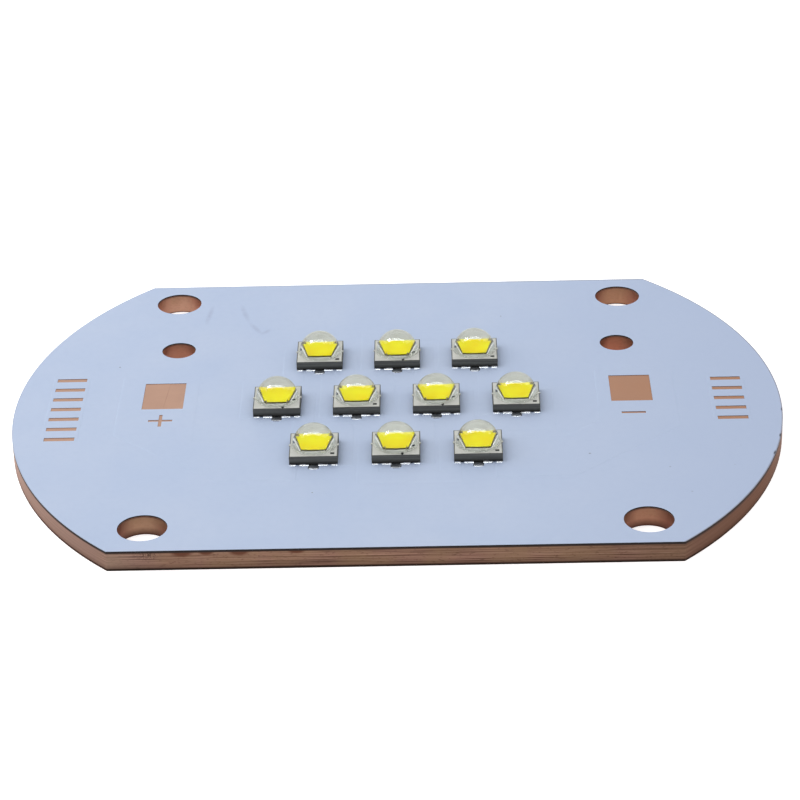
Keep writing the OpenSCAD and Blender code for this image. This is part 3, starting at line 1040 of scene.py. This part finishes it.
def metal_contacts(bm):
    """The contacts under the carrier: a wide thermal one between two narrow ones."""
    for x, width in ((0, THERMAL_W), (-CONTACT_X, CONTACT_W), (CONTACT_X, CONTACT_W)):
        low = (x - width / 2, -CONTACT_L / 2, Z_CONTACT)
        high = (x + width / 2, CONTACT_L / 2, Z_CARRIER + BEDDED)
        paint(block(bm, low, high), CONTACT)


def carrier(number):
    """Ceramic carrier: dark layered sides, pale top with its marks, side nibs and metal contacts."""
    bm = bmesh.new()
    block(bm, (-LED_HALF, -LED_HALF, Z_CARRIER), (LED_HALF, LED_HALF, Z_TOP))
    soften(bm, list(bm.edges), CARRIER_BREAK)
    paint(bm.faces, DARK_SIDE)
    bm.normal_update()
    carrier_top(bm, number)
    side_nibs(bm)
    metal_contacts(bm)
    materials = [DARK_CERAMIC, PALE_CERAMIC, BURNT, GOLD, PAINTED_LIGHT_STRIP, SHADED_UNDER_LENS]
    finish_on_diode(bm, number, "carrier_", materials, "substrate_", sharp=10)


# Order of the chip's materials
COAT, BARE_DIE = range(2)


def coated_chip(number):
    """Chip with dark sides under a yellow coat that leaves its edge and two of its corners bare."""
    bm = bmesh.new()
    half = CHIP_W / 2
    top = Z_TOP + DIE_H
    edge = half + DIE_EDGE
    paint(block(bm, (-edge, -edge, Z_TOP - BEDDED), (edge, edge, top)), BARE_DIE)
    notch = half - BARE_CORNER
    right = [(half, -half), (half, notch), (notch, notch), (notch, half)]
    outline = right + [(-x, y) for x, y in reversed(right)]
    coat = bmesh.ops.contextual_create(bm, geom=closed_loop(bm, outline, top))["faces"]
    paint(coat, COAT)
    upper = raise_faces(bm, coat, COAT_T)
    soften(bm, [edge for face in upper for edge in face.edges], COAT_BREAK)
    finish_on_diode(bm, number, "coated_chip_", [PHOSPHOR, DIE], "chip_", sharp=10)


def dome(number):
    """Clear dome on a short dull foot, with a fillet out to its thin flange."""
    bm = bmesh.new()
    centre = (0, 0, Z_TOP + LENS_FOOT)
    foot = bm.verts.new((LENS_R, 0, Z_TOP + LENS_FOOT))
    bmesh.ops.spin(bm, geom=[foot], cent=centre, axis=(0, -1, 0), angle=math.pi / 2, steps=LENS_STEPS)
    out, drop = FLANGE_R - LENS_R, LENS_FOOT - FLANGE_T
    profile = [
        (FLANGE_R - out * math.cos(turn), Z_TOP + FLANGE_T + drop * (1 - math.sin(turn)))
        for turn in quarter_turn(FLANGE_STEPS)[1:]
    ]
    profile += [(FLANGE_R, Z_TOP - BEDDED), (0, Z_TOP - BEDDED)]
    last = foot
    for r, z in profile:
        vert = bm.verts.new((r, 0, z))
        bm.edges.new((last, vert))
        last = vert
    bmesh.ops.spin(
        bm, geom=list(bm.verts) + list(bm.edges), cent=(0, 0, 0), axis=(0, 0, 1),
        angle=2 * math.pi, steps=LENS_SIDES, use_merge=True,
    )
    for face in bm.faces:
        reach = max(vert.co.z for vert in face.verts)
        face.material_index = int(reach < Z_TOP + LENS_FOOT + MERGE)
    materials = [SILICONE, DULL_SILICONE]
    finish_on_diode(bm, number, "dome_", materials, "lens_", sharp=60)


def solder_joint(bm, x, width, seed):
    """One joint: a thin film under its contact, rising in a hollow fillet at both ends."""
    rise = Z_CARRIER + FILLET_H - Z_FOIL
    hollow = [
        (LED_HALF + FILLET_OUT * (1 - math.cos(turn)), Z_FOIL + rise * (1 - math.sin(turn)))
        for turn in quarter_turn(FILLET_STEPS)
    ]
    inner = LED_HALF - BEDDED
    side = [(inner, Z_CONTACT), (inner, Z_FOIL + rise)] + hollow
    profile = side + [(-y, z) for y, z in reversed(side)]
    verts = [bm.verts.new((x - width / 2, y, z)) for y, z in profile]
    face = bm.faces.new(verts)
    grown = bmesh.ops.extrude_face_region(bm, geom=[face])["geom"]
    bmesh.ops.translate(bm, vec=(width, 0, 0), verts=only(BMVert, grown))
    along = [
        edge for vert in verts for edge in vert.link_edges
        if abs(edge.verts[0].co.x - edge.verts[1].co.x) > width / 2
    ]
    cuts = max(LEAST_CUTS, round(width / RIPPLE_CUT))
    bmesh.ops.subdivide_edges(bm, edges=along, cuts=cuts, use_grid_fill=True)
    for vert in bm.verts:
        if abs(vert.co.x - x) < width and abs(vert.co.y) > LED_HALF + MERGE:
            along_solder = vert.co.x * RIPPLE_PER_MM + seed
            ripple = noise.noise(Vector((along_solder, seed * SEED_ACROSS, vert.co.y)))
            vert.co.y *= 1 + RIPPLE * ripple


def solder_tab(bm, side, beaded):
    """Tab of the thermal joint, outside the carrier: it ends in a round bead or in cut corners."""
    end = LED_HALF + TAB_OUT - (BEAD if beaded else BEDDED)
    half_w = TAB_W / 2
    top = Z_FOIL + TAB_H
    known = set(bm.edges)
    block(bm, (-half_w, side * (LED_HALF - BEDDED), Z_FOIL - BEDDED), (half_w, side * end, top))
    if not beaded:
        corners = [
            edge for edge in bm.edges
            if edge not in known
            and abs(edge.verts[0].co.z - edge.verts[1].co.z) > MERGE
            and abs(edge.verts[0].co.y) > LED_HALF
        ]
        soften(bm, corners, TAB_CUT / 2, steps=1)
    upper = [
        edge for edge in bm.edges
        if edge not in known
        and min(vert.co.z for vert in edge.verts) > top - MERGE
        and max(abs(vert.co.y) for vert in edge.verts) > LED_HALF
    ]
    soften(bm, upper, TAB_BREAK, TAB_BREAK_STEPS)
    if beaded:
        squeeze = Matrix.Translation((0, side * end, Z_FOIL - BEDDED))
        squeeze = squeeze @ Matrix.Diagonal((half_w - BEAD_IN, BEAD, top - Z_FOIL + BEDDED, 1))
        bmesh.ops.create_uvsphere(
            bm, u_segments=2 * BEAD_STEPS, v_segments=BEAD_STEPS, radius=1, matrix=squeeze
        )


# Place of the tabs' material among those of the solder; its darker tone is a painted reflection
REFLECTION_PAINTED_TABS = 1


def solder(number):
    """The three solder joints of a diode and its two tabs."""
    bm = bmesh.new()
    seed = SEED_STEP * int(number)
    beside_tab = (THERMAL_W - TAB_W) / 2 + MASK_GAP
    for side in (-1, 1):
        solder_joint(bm, side * CONTACT_X, CONTACT_W + 2 * MASK_GAP, seed + side)
        solder_joint(bm, side * (TAB_W + beside_tab) / 2, beside_tab, seed + 2 * side)
        known = set(bm.faces)
        solder_tab(bm, side, side < 0)
        # The tabs take the darker solder, whose tone is a painted reflection of the carrier's dark side
        paint([face for face in bm.faces if face not in known], REFLECTION_PAINTED_TABS)
    block(bm, (-TAB_W / 2, -LED_HALF, Z_FOIL), (TAB_W / 2, LED_HALF, Z_CONTACT))
    materials = [SOLDER, REFLECTION_PAINTED_SOLDER]
    finish_on_diode(bm, number, "solder_", materials, "solder_joints_", sharp=40)


def bond_wire(bm, x):
    """One wire: an arch from the chip's bare corner, and a leg down to the carrier."""
    start_y = CHIP_W / 2 - BARE_CORNER / 2
    z = Z_TOP + DIE_H
    ring = circle_loop(bm, x, start_y, WIRE_R, z - BEDDED, WIRE_SIDES)
    bmesh.ops.contextual_create(bm, geom=ring)
    middle = (x, start_y + WIRE_ARCH, z)
    spun = bmesh.ops.spin(bm, geom=ring, cent=middle, axis=(-1, 0, 0), angle=math.pi, steps=WIRE_STEPS)
    lower_edges(bm, only(BMEdge, spun["geom_last"]), DIE_H)


def bond_wires():
    """Two bond wires at each chip."""
    bm = bmesh.new()
    for place in LED_PLACES.values():
        known = set(bm.verts)
        for side in (-1, 1):
            bond_wire(bm, side * (CHIP_W / 2 - BARE_CORNER / 2))
        fresh = [vert for vert in bm.verts if vert not in known]
        bmesh.ops.transform(bm, matrix=place, verts=fresh)
    finish_piece(bm, "bond_wire_arches", [GOLD], "bond_wires", sharp=60)


copper_core_plate()
insulating_sheet()
lacquer_coat()
for number in LED_NUMBERS:
    carrier(number)
    coated_chip(number)
    dome(number)
    solder(number)
bond_wires()
for node in FOIL_NODES:
    frame["nodes"][node].data.materials.clear()
    frame["nodes"][node].data.materials.append(FOIL)


# Floor, light and camera

# Each lamp: direction from the board, distance, length and width in metres, and power
KEY = (Vector((-0.63, 0.14, 0.764)), 0.3, 0.38, 0.38, 0.47)
SPARK = (Vector((-0.63, 0.09, 0.77)), 0.6, 0.15, 0.15, 1.8)
CEILING = (Vector((0.0, 0.438, 0.899)), 0.6, 2.2, 0.75, 12.0)
HORIZON = (Vector((0.0, 0.94, 0.342)), 0.6, 2.2, 0.255, 1.5)
ZENITH = (Vector((0.0, -0.05, 1.0)), 0.6, 0.9, 0.2, 4.8)
COOL_WHITE = (0.93, 0.985, 1.0)
SKY_LIGHT = 0.655
FLOOR_GLOW = 0.65
FLOOR_HALF = 4.0
# A hair below the board, and aside, so that the line between its two triangles isn't under the board
FLOOR_MIDDLE = (0.5, 0.0, -0.00002)


def white_floor():
    """A wide plain white floor that glows a little, and that doesn't hide the board from underneath."""
    bm = bmesh.new()
    place = Matrix.Translation(FLOOR_MIDDLE)
    bmesh.ops.create_grid(bm, x_segments=1, y_segments=1, size=FLOOR_HALF, matrix=place)
    floor = mesh_object(bm, "floor")
    material, tree, shader = start_material("white_floor")
    set_inputs(tree, shader, {
        "Base Color": (0.97, 0.97, 0.97, 1),
        "Roughness": 0.9,
        "Specular IOR Level": 0.1,
        "Emission Color": (1, 1, 1, 1),
        "Emission Strength": FLOOR_GLOW,
    })
    underneath = add_node(tree, "ShaderNodeNewGeometry").outputs["Backfacing"]
    clear = add_node(tree, "ShaderNodeBsdfTransparent").outputs["BSDF"]
    faced = add_node(tree, "ShaderNodeMixShader", {0: underneath, 1: shader.outputs["BSDF"], 2: clear})
    set_inputs(tree, tree.nodes["Material Output"], {"Surface": faced.outputs["Shader"]})
    floor.data.materials.append(material)


def lamp(name, direction, distance, length, width, watts):
    """A soft lamp that faces the board."""
    light = bpy.data.lights.new(name, "AREA")
    light.shape = "RECTANGLE"
    light.size = length
    light.size_y = width
    light.energy = watts
    holder = new_object(name, light)
    holder.location = direction.normalized() * distance
    holder.rotation_euler = direction.to_track_quat("Z", "Y").to_euler()
    holder.visible_camera = False
    return holder


def studio_light():
    """Even white surroundings, a soft key lamp, and lamps that are seen only in reflections."""
    world = bpy.data.worlds.new("studio")
    world.use_nodes = True
    sky = world.node_tree.nodes["Background"]
    set_inputs(world.node_tree, sky, {"Color": (1.0, 1.0, 1.0, 1), "Strength": SKY_LIGHT})
    bpy.context.scene.world = world
    lamp("key", *KEY).visible_glossy = False
    lamps = {"spark": SPARK, "ceiling": CEILING, "horizon": HORIZON, "zenith": ZENITH}
    for name, settings in lamps.items():
        mirrored = lamp(name, *settings)
        mirrored.data.color = COOL_WHITE
        mirrored.visible_diffuse = False
        mirrored.visible_transmission = False


# Camera angles in degrees, distances in metres, focal length and shift in shares of the frame
CAMERA_YAW = 1.0801
CAMERA_HEIGHT = 28.5845
CAMERA_ROLL = -1.5638
CAMERA_DISTANCE = 0.29834
CAMERA_NEAR = 0.005
CAMERA_FOCAL = 3.491506
CAMERA_SHIFT = (0.003413, 0.027406)
SENSOR_MM = 36.0


def photo_camera():
    """The camera at the viewing angle of the photograph."""
    data = bpy.data.cameras.new("camera")
    data.sensor_width = SENSOR_MM
    data.sensor_fit = "HORIZONTAL"
    data.lens = CAMERA_FOCAL * SENSOR_MM
    data.shift_x, data.shift_y = CAMERA_SHIFT
    data.clip_start = CAMERA_NEAR
    camera = new_object("camera", data)
    yaw, height, roll = (math.radians(angle) for angle in (CAMERA_YAW, CAMERA_HEIGHT, CAMERA_ROLL))
    level_reach = math.cos(height)
    back = Vector((math.sin(yaw) * level_reach, -math.cos(yaw) * level_reach, math.sin(height)))
    right = Vector((0, 0, 1)).cross(back).normalized()
    up = back.cross(right)
    turn = Matrix((right, up, back)).transposed().to_4x4() @ Matrix.Rotation(roll, 4, "Z")
    camera.matrix_world = Matrix.Translation(back * CAMERA_DISTANCE) @ turn
    bpy.context.scene.camera = camera


white_floor()
studio_light()
photo_camera()
bpy.context.scene.view_settings.view_transform = "Standard"

bpy.context.view_layer.update()
